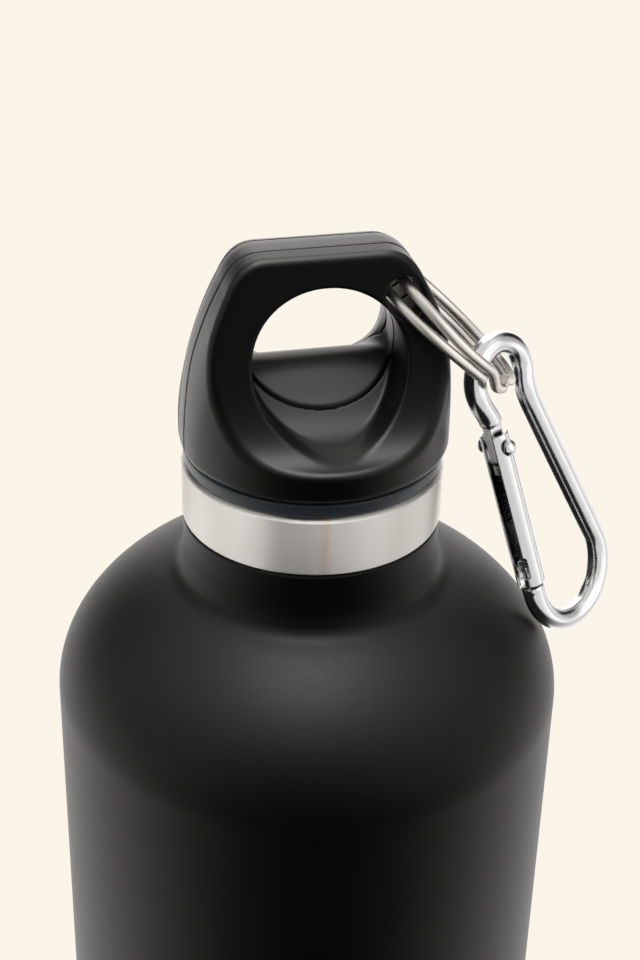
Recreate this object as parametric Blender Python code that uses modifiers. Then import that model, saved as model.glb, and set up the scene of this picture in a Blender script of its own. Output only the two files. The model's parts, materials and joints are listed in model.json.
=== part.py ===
"""Insulated steel water bottle with a screw-on handle cap, a split ring and a small carabiner.

Metres, +Z up. The origin is the centre of the base, where the bottle stands. The handle's arch
runs along X, and its finger opening runs along Y.
"""

from math import acos, atan2, cos, exp, pi, radians, sin

import bmesh
import bpy
from mathutils import Matrix, Vector

MM = 0.001
TURN_STEPS = 40  # facets round every large turned piece
SMALL_STEPS = 20
GAP = 0.3 * MM  # between neighbouring pieces
WELD = 0.01 * MM
SMOOTH_ANGLE = radians(35)  # edges sharper than this stay crisp
BEYOND = 30 * MM  # reach of a cutter past the cap

# Bottle
BODY_RADIUS = 45.0 * MM
NECK_RADIUS = 22.2 * MM
BAND_CENTRE = 240.6 * MM  # mid-height of the bare steel band
SHOULDER_START = BAND_CENTRE - 40.6 * MM
SHOULDER_END = Vector((25.2 * MM, 0, BAND_CENTRE - 17.1 * MM))
NECK_FILLET_TOP = BAND_CENTRE - 11.0 * MM
BASE_EDGE_RADIUS = 4.5 * MM
BASE_EDGE_LOW = 0.5 * MM
SHELL_WALL = 0.5 * MM
VACUUM_GAP = 3.0 * MM
LINER_WALL = 0.4 * MM
LINER_FLOOR = 10.0 * MM
FOIL_WALL = 0.1 * MM

# Neck: steel band, liner neck and its rolled thread
BAND_HALF_HEIGHT = 5.05 * MM
BAND_RADIUS = 22.36 * MM
BAND_BORE = 20.95 * MM
LINER_NECK_RADIUS = 20.65 * MM
MOUTH_RADIUS = 19.6 * MM
THREAD_PITCH = 5.0 * MM
NECK_THREAD_RADIUS = 0.75 * MM
PLUG_THREAD_RADIUS = 0.9 * MM
THREAD_TURNS = 1.25
THREAD_STEPS = 32  # points in one turn
NECK_THREAD_START = BAND_CENTRE - 5.5 * MM
PLUG_THREAD_START = NECK_THREAD_START - 1.5 * THREAD_PITCH
THREAD_PROUD = 0.05 * MM  # how far a thread's centre line lies off its wall

# Base
FOOT_RADIUS = 40.2 * MM
PLATE_WALL = 1.0 * MM
RECESS_RADIUS = 33.6 * MM
COVER_RADIUS = RECESS_RADIUS - GAP
COVER_WALL = 1.2 * MM
EVACUATION_RADIUS = 1.5 * MM

# Plug of the cap
FLANGE_RADIUS = 22.0 * MM
FLANGE_LOW = BAND_CENTRE + 5.6 * MM
FLANGE_TOP = BAND_CENTRE + 8.0 * MM
PLUG_RADIUS = 18.3 * MM
PLUG_BORE = 16.7 * MM
PLUG_END = BAND_CENTRE - 16.0 * MM
PLUG_CAVITY_TOP = BAND_CENTRE + 5.9 * MM
END_DISC_WALL = 1.0 * MM
SEAL_INNER = 19.4 * MM
SEAL_OUTER = 21.4 * MM
SEAL_LOW = BAND_CENTRE + BAND_HALF_HEIGHT + GAP
SEAL_TOP = BAND_CENTRE + 6.7 * MM

# Handle cap
CAP_RADIUS = 23.0 * MM
CAP_LOW = FLANGE_TOP + GAP
CAP_TOP = BAND_CENTRE + 44.4 * MM
STRAP_HALF = 2.4 * MM  # half-width of the core's strap between the two parting lines
SADDLE_HALF_WIDTH = 11.6 * MM
SADDLE_HALF_DEPTH = 8.0 * MM
SADDLE_LOW = BAND_CENTRE + 14.2 * MM
SADDLE_RISE = 11.0 * MM
SADDLE_SPREAD = 8.92 * MM
SADDLE_CLEAR = BAND_CENTRE + 30 * MM  # above the hill, in the open finger hole
CROWN_START = -0.5 * MM  # behind this depth the outer side curves in
CROWN_RADIUS = 13.0 * MM
CROWN_FADE = (BAND_CENTRE + 14 * MM, BAND_CENTRE + 24 * MM)  # heights where it sets in
FLARE_RADIUS = 20.0 * MM  # the finger opening widens towards the rear
RING_HOLE_RADIUS = 3.3 * MM
RING_HOLE_FLARE = 3.9 * MM  # its radius where it leaves the front and rear faces
RING_HOLE = Vector((12.5 * MM, 0, BAND_CENTRE + 37.1 * MM))

# Split ring, hanging from the hole at an angle below the horizontal
RING_DROP = radians(43.5)
RING_CUT = radians(-62)  # where the wire starts and ends, seen from the ring's middle
RING_CROSSING = radians(24)  # stretch in which one turn crosses over to the other
RING_END_GAP = radians(9)
RING_RADIUS = 14.6 * MM
RING_WIRE = 0.9 * MM
RING_PITCH = 1.85 * MM
RING_SAG = 1.35 * MM  # how far the wire's middle lies behind the hole's axis
RING_STEPS = 36  # points in one turn

# Carabiner. Its own frame: x towards the spine, y up, z out of its plane; the origin is the ring's wire.
CARABINER_TILT = Vector((-0.212, 0.182, 0.960))  # its long axis at rest
CARABINER_TWIST = radians(33)
ROD_RADIUS = 2.0 * MM
BOW_RADIUS = 6.3 * MM
BOW_CENTRE = Vector((-0.6 * MM, -1.2 * MM, 0))
BOW_OPENING = radians(15)  # how far the bow's arc passes its widest points
BASKET_RADIUS = 9.4 * MM
BASKET_CENTRE = BOW_CENTRE + Vector((7.0 * MM, -40.3 * MM, 0))
SPINE_TOP = BOW_CENTRE + Vector((6.7 * MM, -8.0 * MM, 0))
RIVET_CENTRE = BOW_CENTRE + Vector((-4.1 * MM, -10.9 * MM, 0))
GATE_LEAN = radians(3.2)  # of the gate line against the carabiner's long axis
GATE_RADIUS = 2.5 * MM
GATE_BORE = 1.9 * MM
GATE_TOP = 2.6 * MM
GATE_BOTTOM = -27.4 * MM
SEAM_HALF = 1.2 * MM
TONGUE_HALF_THICKNESS = 1.0 * MM
TONGUE_HALF_WIDTH = 1.5 * MM
TONGUE_BOTTOM = -2.9 * MM
ROD_SHOULDER = 4.4 * MM
NOSE_TOP = -28.0 * MM
NOSE_HEAD_RISE = 4.4 * MM  # middle of the T-shaped head above the nose's shoulder
NECK_HALF_WIDTH = 1.2 * MM
NECK_HALF_THICKNESS = 0.6 * MM
NOSE_HEAD_RADIUS = 0.9 * MM
NOSE_HEAD_LENGTH = 2.9 * MM
WINDOW_LOW = NOSE_TOP + 2.6 * MM
WINDOW_HIGH = NOSE_TOP + 6.6 * MM
WINDOW_HALF = 1.75 * MM
LIP_HALF = 0.9 * MM
FORK_DEPTH = 4.2 * MM
RIVET_RADIUS = 0.8 * MM
RIVET_HOLE = 0.95 * MM
RIVET_HEAD = 1.5 * MM
RIVET_CROWN = 1.1 * MM
SPRING_TOP = -5.6 * MM
SPRING_BOTTOM = -15.0 * MM
SPRING_RADIUS = 1.35 * MM
SPRING_WIRE = 0.2 * MM
SPRING_TURNS = 7
PLUNGER_RADIUS = 1.5 * MM
PLUNGER_LENGTH = 1.8 * MM
PLUNGER_MIDDLE = -4.1 * MM

BLACK_COAT = (0.018, 0.018, 0.020, 1)
BLACK_PLASTIC = (0.022, 0.022, 0.024, 1)
GREY_PLASTIC = (0.060, 0.066, 0.078, 1)
STEEL = (0.60, 0.58, 0.56, 1)
POLISHED = (0.78, 0.78, 0.78, 1)
COPPER = (0.72, 0.40, 0.26, 1)
SILICONE = (0.05, 0.05, 0.05, 1)
FOAM = (0.85, 0.83, 0.76, 1)
SOLDER = (0.45, 0.45, 0.46, 1)


# ---------------------------------------------------------------- tools

def clear_scene():
    for obj in list(bpy.data.objects):
        bpy.data.objects.remove(obj, do_unlink=True)


def new_collection(name, hidden=False):
    collection = bpy.data.collections.new(name)
    bpy.context.scene.collection.children.link(collection)
    collection.hide_render = hidden
    return collection


def material(name, colour, roughness, metallic=0.0):
    made = bpy.data.materials.new(name)
    made.use_nodes = True
    shader = made.node_tree.nodes["Principled BSDF"]
    shader.inputs["Base Color"].default_value = colour
    shader.inputs["Roughness"].default_value = roughness
    shader.inputs["Metallic"].default_value = metallic
    return made


def add_object(name, data, matrix=None):
    """A new object, kept with the cutters until part() claims it."""
    obj = bpy.data.objects.new(name, data)
    CUTTERS.objects.link(obj)
    obj.hide_render = True
    obj.display_type = "WIRE"
    if matrix is not None:
        obj.matrix_world = matrix
    return obj


def part(obj, look, parent=None):
    """Makes an object a piece of the bottle, with its material and its pivot."""
    CUTTERS.objects.unlink(obj)
    PARTS.objects.link(obj)
    obj.hide_render = False
    obj.display_type = "TEXTURED"
    obj.data.materials.clear()
    obj.data.materials.append(look)
    if parent is not None:
        bpy.context.view_layer.update()
        matrix = obj.matrix_world.copy()
        obj.parent = parent
        obj.matrix_parent_inverse = parent.matrix_world.inverted()
        obj.matrix_world = matrix
    return obj


def pivot(name, matrix, parent=None):
    empty = bpy.data.objects.new(name, None)
    PARTS.objects.link(empty)
    empty.empty_display_size = 5 * MM
    empty.matrix_world = matrix
    if parent is not None:
        bpy.context.view_layer.update()
        empty.parent = parent
        empty.matrix_parent_inverse = parent.matrix_world.inverted()
        empty.matrix_world = matrix
    return empty


def boolean(target, operation, other):
    modifier = target.modifiers.new(operation.title(), "BOOLEAN")
    modifier.operation = operation
    modifier.object = other
    modifier.solver = "EXACT"
    return target


def cut(target, *cutters):
    for cutter in cutters:
        boolean(target, "DIFFERENCE", cutter)
    return target


def keep(target, *regions):
    for region in regions:
        boolean(target, "INTERSECT", region)
    return target


def join(target, *others):
    for other in others:
        boolean(target, "UNION", other)
    return target


def turned(name, profile, steps=TURN_STEPS, matrix=None, closed=False):
    """A profile of (radius, height) points turned about Z. It runs down the outer side."""
    mesh = bpy.data.meshes.new(name)
    points = [(radius, 0, height) for radius, height in profile]
    edges = [(i, i + 1) for i in range(len(points) - 1)]
    if closed:
        edges.append((len(points) - 1, 0))
    mesh.from_pydata(points, edges, [])
    obj = add_object(name, mesh, matrix)
    screw = obj.modifiers.new("Screw", "SCREW")
    screw.axis = "Z"
    screw.steps = steps
    screw.render_steps = steps
    screw.use_merge_vertices = True
    screw.merge_threshold = WELD
    screw.use_smooth_shade = True
    return obj


def smooth(mesh):
    mesh.shade_smooth()
    mesh.set_sharp_from_angle(angle=SMOOTH_ANGLE)


def mesh_from_curve(obj, matrix=None):
    """A mesh object in place of the curve, with its loose caps welded."""
    graph = bpy.context.evaluated_depsgraph_get()
    mesh = bpy.data.meshes.new_from_object(obj.evaluated_get(graph))
    name = obj.name
    bpy.data.objects.remove(obj, do_unlink=True)
    work = bmesh.new()
    work.from_mesh(mesh)
    bmesh.ops.remove_doubles(work, verts=work.verts, dist=WELD / 10)
    bmesh.ops.recalc_face_normals(work, faces=work.faces)
    work.to_mesh(mesh)
    work.free()
    smooth(mesh)
    return add_object(name, mesh, matrix)


def wire(name, points, radius, sides=2, closed=False, matrix=None):
    """A round wire along the points."""
    curve = bpy.data.curves.new(name, "CURVE")
    curve.dimensions = "3D"
    curve.bevel_depth = radius
    curve.bevel_resolution = sides
    curve.use_fill_caps = True
    spline = curve.splines.new("POLY")
    spline.points.add(len(points) - 1)
    for target, point in zip(spline.points, points):
        target.co = (*point, 1)
    spline.use_cyclic_u = closed
    return mesh_from_curve(add_object(name, curve), matrix)


def plate(name, outline, thickness, matrix=None):
    """A flat outline of (x, y) points, thickened evenly on both sides of its plane."""
    curve = bpy.data.curves.new(name, "CURVE")
    curve.dimensions = "2D"
    curve.fill_mode = "BOTH"
    curve.extrude = thickness / 2
    spline = curve.splines.new("POLY")
    spline.points.add(len(outline) - 1)
    for target, (x, y) in zip(spline.points, outline):
        target.co = (x, y, 0, 1)
    spline.use_cyclic_u = True
    return mesh_from_curve(add_object(name, curve), matrix)


def box(name, low, high, matrix=None):
    mesh = bpy.data.meshes.new(name)
    work = bmesh.new()
    bmesh.ops.create_cube(work, size=1)
    middle = (Vector(low) + Vector(high)) / 2
    size = Vector(high) - Vector(low)
    bmesh.ops.scale(work, vec=size, verts=work.verts)
    bmesh.ops.translate(work, vec=middle, verts=work.verts)
    work.to_mesh(mesh)
    work.free()
    return add_object(name, mesh, matrix)


def cylinder(name, radius, length, centre, axis="Z", steps=SMALL_STEPS, matrix=None):
    mesh = bpy.data.meshes.new(name)
    work = bmesh.new()
    bmesh.ops.create_cone(
        work, cap_ends=True, segments=steps, radius1=radius, radius2=radius, depth=length
    )
    turn = {"X": Matrix.Rotation(pi / 2, 4, "Y"), "Y": Matrix.Rotation(pi / 2, 4, "X"), "Z": Matrix()}
    bmesh.ops.transform(work, matrix=Matrix.Translation(centre) @ turn[axis], verts=work.verts)
    work.to_mesh(mesh)
    work.free()
    smooth(mesh)
    return add_object(name, mesh, matrix)


def bezier(start, first, second, end, steps):
    """Points of one cubic curve, without its start."""
    found = []
    for i in range(1, steps + 1):
        t = i / steps
        weights = ((1 - t) ** 3, 3 * t * (1 - t) ** 2, 3 * t * t * (1 - t), t**3)
        found.append(
            tuple(
                sum(w * p[k] for w, p in zip(weights, (start, first, second, end)))
                for k in (0, 1)
            )
        )
    return found


def arc(centre, radius, start, end, steps):
    """Points of a circular arc in the plane, both ends included."""
    return [
        (
            centre[0] + radius * cos(start + (end - start) * i / steps),
            centre[1] + radius * sin(start + (end - start) * i / steps),
        )
        for i in range(steps + 1)
    ]


def inset(points, distance):
    """The open contour moved to its inner side, for one that runs downwards.

    The distance may be a number or a function of the point's second coordinate.
    """
    moved = []
    for i, (x, y) in enumerate(points):
        before = Vector(points[max(i - 1, 0)])
        after = Vector(points[min(i + 1, len(points) - 1)])
        along = (after - before).normalized()
        amount = distance(y) if callable(distance) else distance
        moved.append((x + along.y * amount, y - along.x * amount))
    return moved


def in_mm(*pairs):
    """Heights relative to the band's centre, in millimetres, as (radius, height) in metres."""
    return [(x * MM, BAND_CENTRE + z * MM) for x, z in pairs]


# ---------------------------------------------------------------- bottle

def body_contour():
    """Outside of the body from the neck's end down to the start of the base edge."""
    neck_end = BAND_CENTRE - BAND_HALF_HEIGHT - GAP
    end = (SHOULDER_END.x, SHOULDER_END.z)
    points = [(NECK_RADIUS, neck_end), (NECK_RADIUS, NECK_FILLET_TOP)]
    points += bezier(
        points[-1],
        (NECK_RADIUS, NECK_FILLET_TOP - 3.6 * MM),
        (SHOULDER_END.x - 2.0 * MM, SHOULDER_END.z + 0.9 * MM),
        end,
        4,
    )
    points += bezier(
        end,
        (SHOULDER_END.x + 8.8 * MM, SHOULDER_END.z - 3.9 * MM),
        (BODY_RADIUS, SHOULDER_START + 11.1 * MM),
        (BODY_RADIUS, SHOULDER_START),
        8,
    )
    return points


def base_edge(radius):
    centre = (BODY_RADIUS - BASE_EDGE_RADIUS, BASE_EDGE_LOW + BASE_EDGE_RADIUS)
    return arc(centre, radius, 0, -pi / 2, 4)


def outer_shell():
    outside = body_contour() + base_edge(BASE_EDGE_RADIUS)
    inside = inset(body_contour(), SHELL_WALL) + base_edge(BASE_EDGE_RADIUS - SHELL_WALL)
    return turned("outer_shell", outside + inside[::-1], closed=True)


def neck_collar():
    low = BAND_CENTRE - BAND_HALF_HEIGHT
    high = BAND_CENTRE + BAND_HALF_HEIGHT
    edge = 0.3 * MM
    profile = [
        (BAND_BORE, high),
        (BAND_RADIUS - edge, high),
        (BAND_RADIUS, high - edge),
        (BAND_RADIUS, low + edge),
        (BAND_RADIUS - edge, low),
        (BAND_BORE, low),
    ]
    return turned("neck_collar", profile, closed=True)


def helix(radius, start_height):
    """Centre line of a right-hand thread."""
    points = []
    for i in range(round(THREAD_TURNS * THREAD_STEPS) + 1):
        angle = 2 * pi * i / THREAD_STEPS
        height = start_height + THREAD_PITCH * i / THREAD_STEPS
        points.append((radius * cos(angle), radius * sin(angle), height))
    return points


def inner_liner():
    """Inner bottle: one wall that follows the outer shell, a neck and a rolled thread."""
    inset_to_liner = SHELL_WALL + VACUUM_GAP
    shoulder = inset(body_contour(), inset_to_liner)[6:]
    low_edge = 6 * MM
    radius = BODY_RADIUS - inset_to_liner
    corner = (radius - low_edge, LINER_FLOOR + low_edge)
    outside = [
        (LINER_NECK_RADIUS, BAND_CENTRE + BAND_HALF_HEIGHT),
        (LINER_NECK_RADIUS, SHOULDER_END.z - 1.0 * MM),
    ]
    outside += shoulder[1:]
    outside += arc(corner, low_edge, 0, -pi / 2, 4)
    outside.append((0, LINER_FLOOR))
    inside = [
        (MOUTH_RADIUS, BAND_CENTRE + BAND_HALF_HEIGHT),
        (MOUTH_RADIUS, SHOULDER_END.z - 2.2 * MM),
    ]
    inside += inset(shoulder, LINER_WALL)[1:]
    inside += arc(corner, low_edge - LINER_WALL, 0, -pi / 2, 4)
    inside.append((0, LINER_FLOOR + LINER_WALL))
    liner = turned("inner_liner", inside[::-1] + outside)
    thread = wire(
        "neck_thread",
        helix(MOUTH_RADIUS + THREAD_PROUD, NECK_THREAD_START),
        NECK_THREAD_RADIUS,
        sides=1,
    )
    return join(liner, thread)


def radiation_foil():
    inner = BODY_RADIUS - SHELL_WALL - VACUUM_GAP + GAP
    low = LINER_FLOOR + 8 * MM
    high = SHOULDER_START - 4 * MM
    profile = [(inner, high), (inner + FOIL_WALL, high), (inner + FOIL_WALL, low), (inner, low)]
    return turned("radiation_foil", profile, closed=True)


def vacuum_base_cup():
    """Pressed plate with a foot rim, a recess for the cover and the evacuation hole."""
    recess_top = COVER_WALL + GAP
    profile = [
        (EVACUATION_RADIUS, recess_top + PLATE_WALL),
        (RECESS_RADIUS + PLATE_WALL, recess_top + PLATE_WALL),
        (RECESS_RADIUS + PLATE_WALL, PLATE_WALL),
        (FOOT_RADIUS, PLATE_WALL),
        (FOOT_RADIUS, 0.3 * MM),
        (FOOT_RADIUS - 0.3 * MM, 0),
        (RECESS_RADIUS, 0),
        (RECESS_RADIUS, recess_top),
        (EVACUATION_RADIUS, recess_top),
    ]
    return turned("vacuum_base_cup", profile, closed=True)


def vacuum_seal():
    """Solder bead: a stem in the evacuation hole under a round head."""
    low = COVER_WALL + GAP + 0.2 * MM
    head = COVER_WALL + 2 * GAP + PLATE_WALL
    stem = EVACUATION_RADIUS - GAP
    profile = [(0, head + 1.4 * MM), (1.6 * MM, head + 1.1 * MM), (2.8 * MM, head)]
    profile += [(stem, head), (stem, low), (0, low)]
    return turned("vacuum_seal", profile, SMALL_STEPS)


def getter_capsule():
    low = COVER_WALL + 2 * GAP + PLATE_WALL
    return cylinder("getter_capsule", 4 * MM, 2 * MM, (18 * MM, 0, low + 1 * MM))


def base_cover():
    edge = 0.3 * MM
    profile = [(0, COVER_WALL), (COVER_RADIUS, COVER_WALL), (COVER_RADIUS, edge)]
    profile += [(COVER_RADIUS - edge, 0), (0, 0)]
    return turned("base_cover", profile)


# ---------------------------------------------------------------- cap

def seal_gasket():
    edge = 0.3 * MM
    profile = [
        (SEAL_INNER, SEAL_TOP),
        (SEAL_OUTER, SEAL_TOP),
        (SEAL_OUTER, SEAL_LOW + edge),
        (SEAL_OUTER - edge, SEAL_LOW),
        (SEAL_INNER + edge, SEAL_LOW),
        (SEAL_INNER, SEAL_LOW + edge),
    ]
    return turned("seal_gasket", profile, closed=True)


def cap_plug():
    """Hollow threaded plug, open below, with a flange that holds the gasket in a groove."""
    groove_top = SEAL_TOP + GAP
    edge = 0.4 * MM
    profile = [
        (0, FLANGE_TOP),
        (FLANGE_RADIUS - edge, FLANGE_TOP),
        (FLANGE_RADIUS, FLANGE_TOP - edge),
        (FLANGE_RADIUS, FLANGE_LOW),
        (SEAL_OUTER + GAP, FLANGE_LOW),
        (SEAL_OUTER + GAP, groove_top),
        (SEAL_INNER - GAP, groove_top),
        (SEAL_INNER - GAP, FLANGE_LOW),
        (PLUG_RADIUS, FLANGE_LOW),
        (PLUG_RADIUS, PLUG_END),
        (PLUG_BORE, PLUG_END),
        (PLUG_BORE, PLUG_CAVITY_TOP),
        (0, PLUG_CAVITY_TOP),
    ]
    plug = turned("cap_plug", profile)
    thread = wire(
        "plug_thread",
        helix(PLUG_RADIUS + THREAD_PROUD, PLUG_THREAD_START),
        PLUG_THREAD_RADIUS,
        sides=1,
    )
    return join(plug, thread)


def plug_insulation():
    radius = PLUG_BORE - GAP
    low = PLUG_END + END_DISC_WALL + GAP
    high = PLUG_CAVITY_TOP - GAP
    return turned("plug_insulation", [(0, high), (radius, high), (radius, low), (0, low)])


def plug_end_disc():
    radius = PLUG_BORE - GAP
    high = PLUG_END + END_DISC_WALL
    return turned("plug_end_disc", [(0, high), (radius, high), (radius, PLUG_END), (0, PLUG_END)])


def across():
    """Plane of the arch: outline x along X and y along Z, thickness along Y."""
    return Matrix(((1, 0, 0, 0), (0, 0, -1, 0), (0, 1, 0, 0), (0, 0, 0, 1)))


def along():
    """Plane of the side view: outline x along Y and y along Z, thickness along X."""
    return Matrix(((0, 0, 1, 0), (1, 0, 0, 0), (0, 1, 0, 0), (0, 0, 0, 1)))


def mirrored(half):
    """A closed outline from its right half, listed from the top middle to the bottom middle."""
    return half + [(-x, y) for x, y in half[::-1] if abs(x) > WELD]


def lofted(name, outlines):
    """A solid through equal outlines of (x, z) points, given with their depths along Y."""
    mesh = bpy.data.meshes.new(name)
    work = bmesh.new()
    rings = [[work.verts.new((x, depth, z)) for x, z in outline] for depth, outline in outlines]
    count = len(rings[0])
    for front, rear in zip(rings, rings[1:]):
        for i in range(count):
            j = (i + 1) % count
            work.faces.new((front[i], front[j], rear[j], rear[i]))
    work.faces.new(rings[0])
    work.faces.new(rings[-1])
    bmesh.ops.recalc_face_normals(work, faces=work.faces)
    work.to_mesh(mesh)
    work.free()
    smooth(mesh)
    return add_object(name, mesh)


def crown(depth, height):
    """How far the outer side has curved in at this depth. The round rim below stays round."""
    start, full = CROWN_FADE
    share = min(max((height - start) / (full - start), 0), 1)
    return share * max(depth - CROWN_START, 0) ** 2 / (2 * CROWN_RADIUS)


def arch_blank(name):
    """The arch seen from the front, with an outer side that curves in towards the rear."""
    outlines = [(-BEYOND, mirrored(arch_half()))]
    for depth in (CROWN_START, 2.5 * MM, 5.5 * MM, 8.5 * MM, 11.5 * MM):
        crowned = inset(arch_half(), lambda height: crown(depth, height))
        outlines.append((depth, mirrored(crowned)))
    outlines.append((BEYOND, outlines[-1][1]))
    return lofted(name, outlines)


def opening_blank(name):
    """The finger opening, widening towards the rear."""
    outlines = [(-BEYOND, mirrored(opening_half()))]
    for depth in (0, 3.5 * MM, 7 * MM, 10.5 * MM):
        flared = inset(opening_half(), -(depth**2) / (2 * FLARE_RADIUS))
        outlines.append((depth, mirrored(flared)))
    outlines.append((BEYOND, outlines[-1][1]))
    return lofted(name, outlines)


def arch_half():
    """Right half of the cap's front view: a straight side that rounds over into a flat top."""
    side_low, side_high, corner = in_mm((23.6, 13.0), (16.4, 39.0), (9.5, 44.4))
    low = CAP_LOW - MM
    half = [(0, CAP_TOP), corner]
    half += bezier(corner, *in_mm((12.8, 44.4), (14.8, 42.6)), side_high, 5)
    half += bezier(side_high, *in_mm((19.4, 33.5), (22.3, 24.5)), side_low, 6)
    return half + [(side_low[0], low), (0, low)]


def side_outline():
    """Side view of the cap: thin at the top, flaring out to a ledge above the rim."""
    top, ledge = in_mm((6.5, 45.0), (23.5, 13.9))
    half = [(0, top[1]), top]
    half += bezier(top, *in_mm((11.8, 23.0), (14.5, 13.9)), ledge, 10)
    half += [(ledge[0], CAP_LOW - GAP), (0, CAP_LOW - GAP)]
    return mirrored(half)


def opening_half():
    """Right half of the finger opening's front view: round on top, a drop's tip below."""
    top, widest, tip = in_mm((0, 39.3), (12.7, 28.0), (0, 14.5))
    half = [top]
    half += bezier(top, *in_mm((6.7, 39.3), (12.4, 34.8)), widest, 7)
    half += bezier(widest, *in_mm((13.0, 21.2), (8.2, 14.5)), tip, 8)
    return half


def saddle_outline():
    """Side view of the space above the floor of the opening, which is a smooth hill."""
    reach = 24 * MM
    count = 16
    floor = []
    for i in range(count + 1):
        y = reach - 2 * reach * i / count
        floor.append((y, SADDLE_LOW + SADDLE_RISE * exp(-((y / SADDLE_SPREAD) ** 2))))
    return [(-reach, CAP_TOP), (reach, CAP_TOP)] + floor


def ring_hole():
    """Hole from front to back through the pillar, straight in the middle and flared outwards."""
    straight = 6.5 * MM
    flared = 9.0 * MM
    half = [
        (0, BEYOND),
        (RING_HOLE_FLARE, BEYOND),
        (RING_HOLE_FLARE, flared),
        (RING_HOLE_RADIUS, straight),
    ]
    profile = half + [(x, -z) for x, z in half[::-1]]
    placed = Matrix.Translation(RING_HOLE) @ Matrix.Rotation(pi / 2, 4, "X")
    return turned("ring_hole", profile, SMALL_STEPS, placed)


def cap_blanks():
    """The tools that shape all three pieces of the cap."""
    edge = 1.5 * MM
    round_body = turned(
        "cap_round",
        [
            (0, CAP_TOP + GAP),
            (CAP_RADIUS, CAP_TOP + GAP),
            (CAP_RADIUS, CAP_LOW + edge),
            (CAP_RADIUS - 0.45 * edge, CAP_LOW + 0.45 * edge),
            (CAP_RADIUS - edge, CAP_LOW),
            (0, CAP_LOW),
        ],
    )
    faces = plate("cap_faces", side_outline(), 60 * MM, along())
    opening = opening_blank("finger_opening")
    keep(opening, plate("above_saddle", saddle_outline(), 30 * MM, along()))
    return round_body, faces, opening, ring_hole()


def cap_piece(name, region, blanks):
    round_body, faces, opening, hole = blanks
    piece = arch_blank(name)
    keep(piece, round_body, faces, region)
    return cut(piece, opening, hole)


def cap_core(blanks):
    """Middle of the handle: the strap over the arch and the saddle under the fingers."""
    low = CAP_LOW - GAP
    region = box("strap_region", (-BEYOND, -STRAP_HALF, low), (BEYOND, STRAP_HALF, CAP_TOP + GAP))
    saddle = box(
        "saddle_region",
        (-SADDLE_HALF_WIDTH, -SADDLE_HALF_DEPTH, low),
        (SADDLE_HALF_WIDTH, SADDLE_HALF_DEPTH, SADDLE_CLEAR),
    )
    return cap_piece("cap_core", join(region, saddle), blanks)


def cap_shell(name, side, blanks):
    """Front (side -1) or rear (side 1) moulding, with a pocket round the saddle."""
    low = CAP_LOW - GAP
    front, back = sorted((side * (STRAP_HALF + GAP), side * BEYOND))
    region = box(name + "_region", (-BEYOND, front, low), (BEYOND, back, CAP_TOP + GAP))
    width = SADDLE_HALF_WIDTH + GAP
    depth = SADDLE_HALF_DEPTH + GAP
    pocket = box(name + "_pocket", (-width, -depth, low - GAP), (width, depth, SADDLE_CLEAR + GAP))
    return cap_piece(name, cut(region, pocket), blanks)


# ---------------------------------------------------------------- ring

def ring_directions():
    down = Vector((cos(RING_DROP), 0, -sin(RING_DROP)))
    normal = Vector((sin(RING_DROP), 0, cos(RING_DROP)))
    return down, normal


def ring_far_wire():
    """Centre of the two turns of wire at the ring's far end."""
    down, _ = ring_directions()
    return RING_HOLE + (2 * RING_RADIUS - RING_SAG) * down


def split_ring():
    """Two turns of wire. Each lies flat, and they cross over in one short stretch."""
    down, normal = ring_directions()
    centre = RING_HOLE + (RING_RADIUS - RING_SAG) * down
    points = []
    steps = 2 * RING_STEPS
    total = 4 * pi - 2 * RING_END_GAP
    for i in range(steps + 1):
        turn = RING_END_GAP + total * i / steps
        rise = (turn - (2 * pi - RING_CROSSING / 2)) / RING_CROSSING
        rise = min(max(rise, 0), 1)
        rise = rise * rise * (3 - 2 * rise)
        angle = RING_CUT + turn
        around = cos(angle) * down + sin(angle) * Vector((0, 1, 0))
        points.append(centre + RING_RADIUS * around + (0.5 - rise) * RING_PITCH * normal)
    return wire("split_ring", points, RING_WIRE)


# ---------------------------------------------------------------- carabiner

def carabiner_frame():
    """World placement of the carabiner's own frame."""
    upright = Matrix.Rotation(CARABINER_TWIST, 3, "Z") @ across().to_3x3()
    lean = Vector((0, 0, 1)).rotation_difference(CARABINER_TILT.normalized()).to_matrix()
    return Matrix.Translation(ring_far_wire()) @ (lean @ upright).to_4x4()


def gate_frame():
    """The gate's frame inside the carabiner's: origin at the rivet, y up along the gate line."""
    return Matrix.Translation(RIVET_CENTRE) @ Matrix.Rotation(GATE_LEAN, 4, "Z")


def spine_touch():
    """Angle at which the straight spine meets the basket's arc."""
    back = SPINE_TOP - BASKET_CENTRE
    return atan2(back.y, back.x) - acos(BASKET_RADIUS / back.length)


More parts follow.
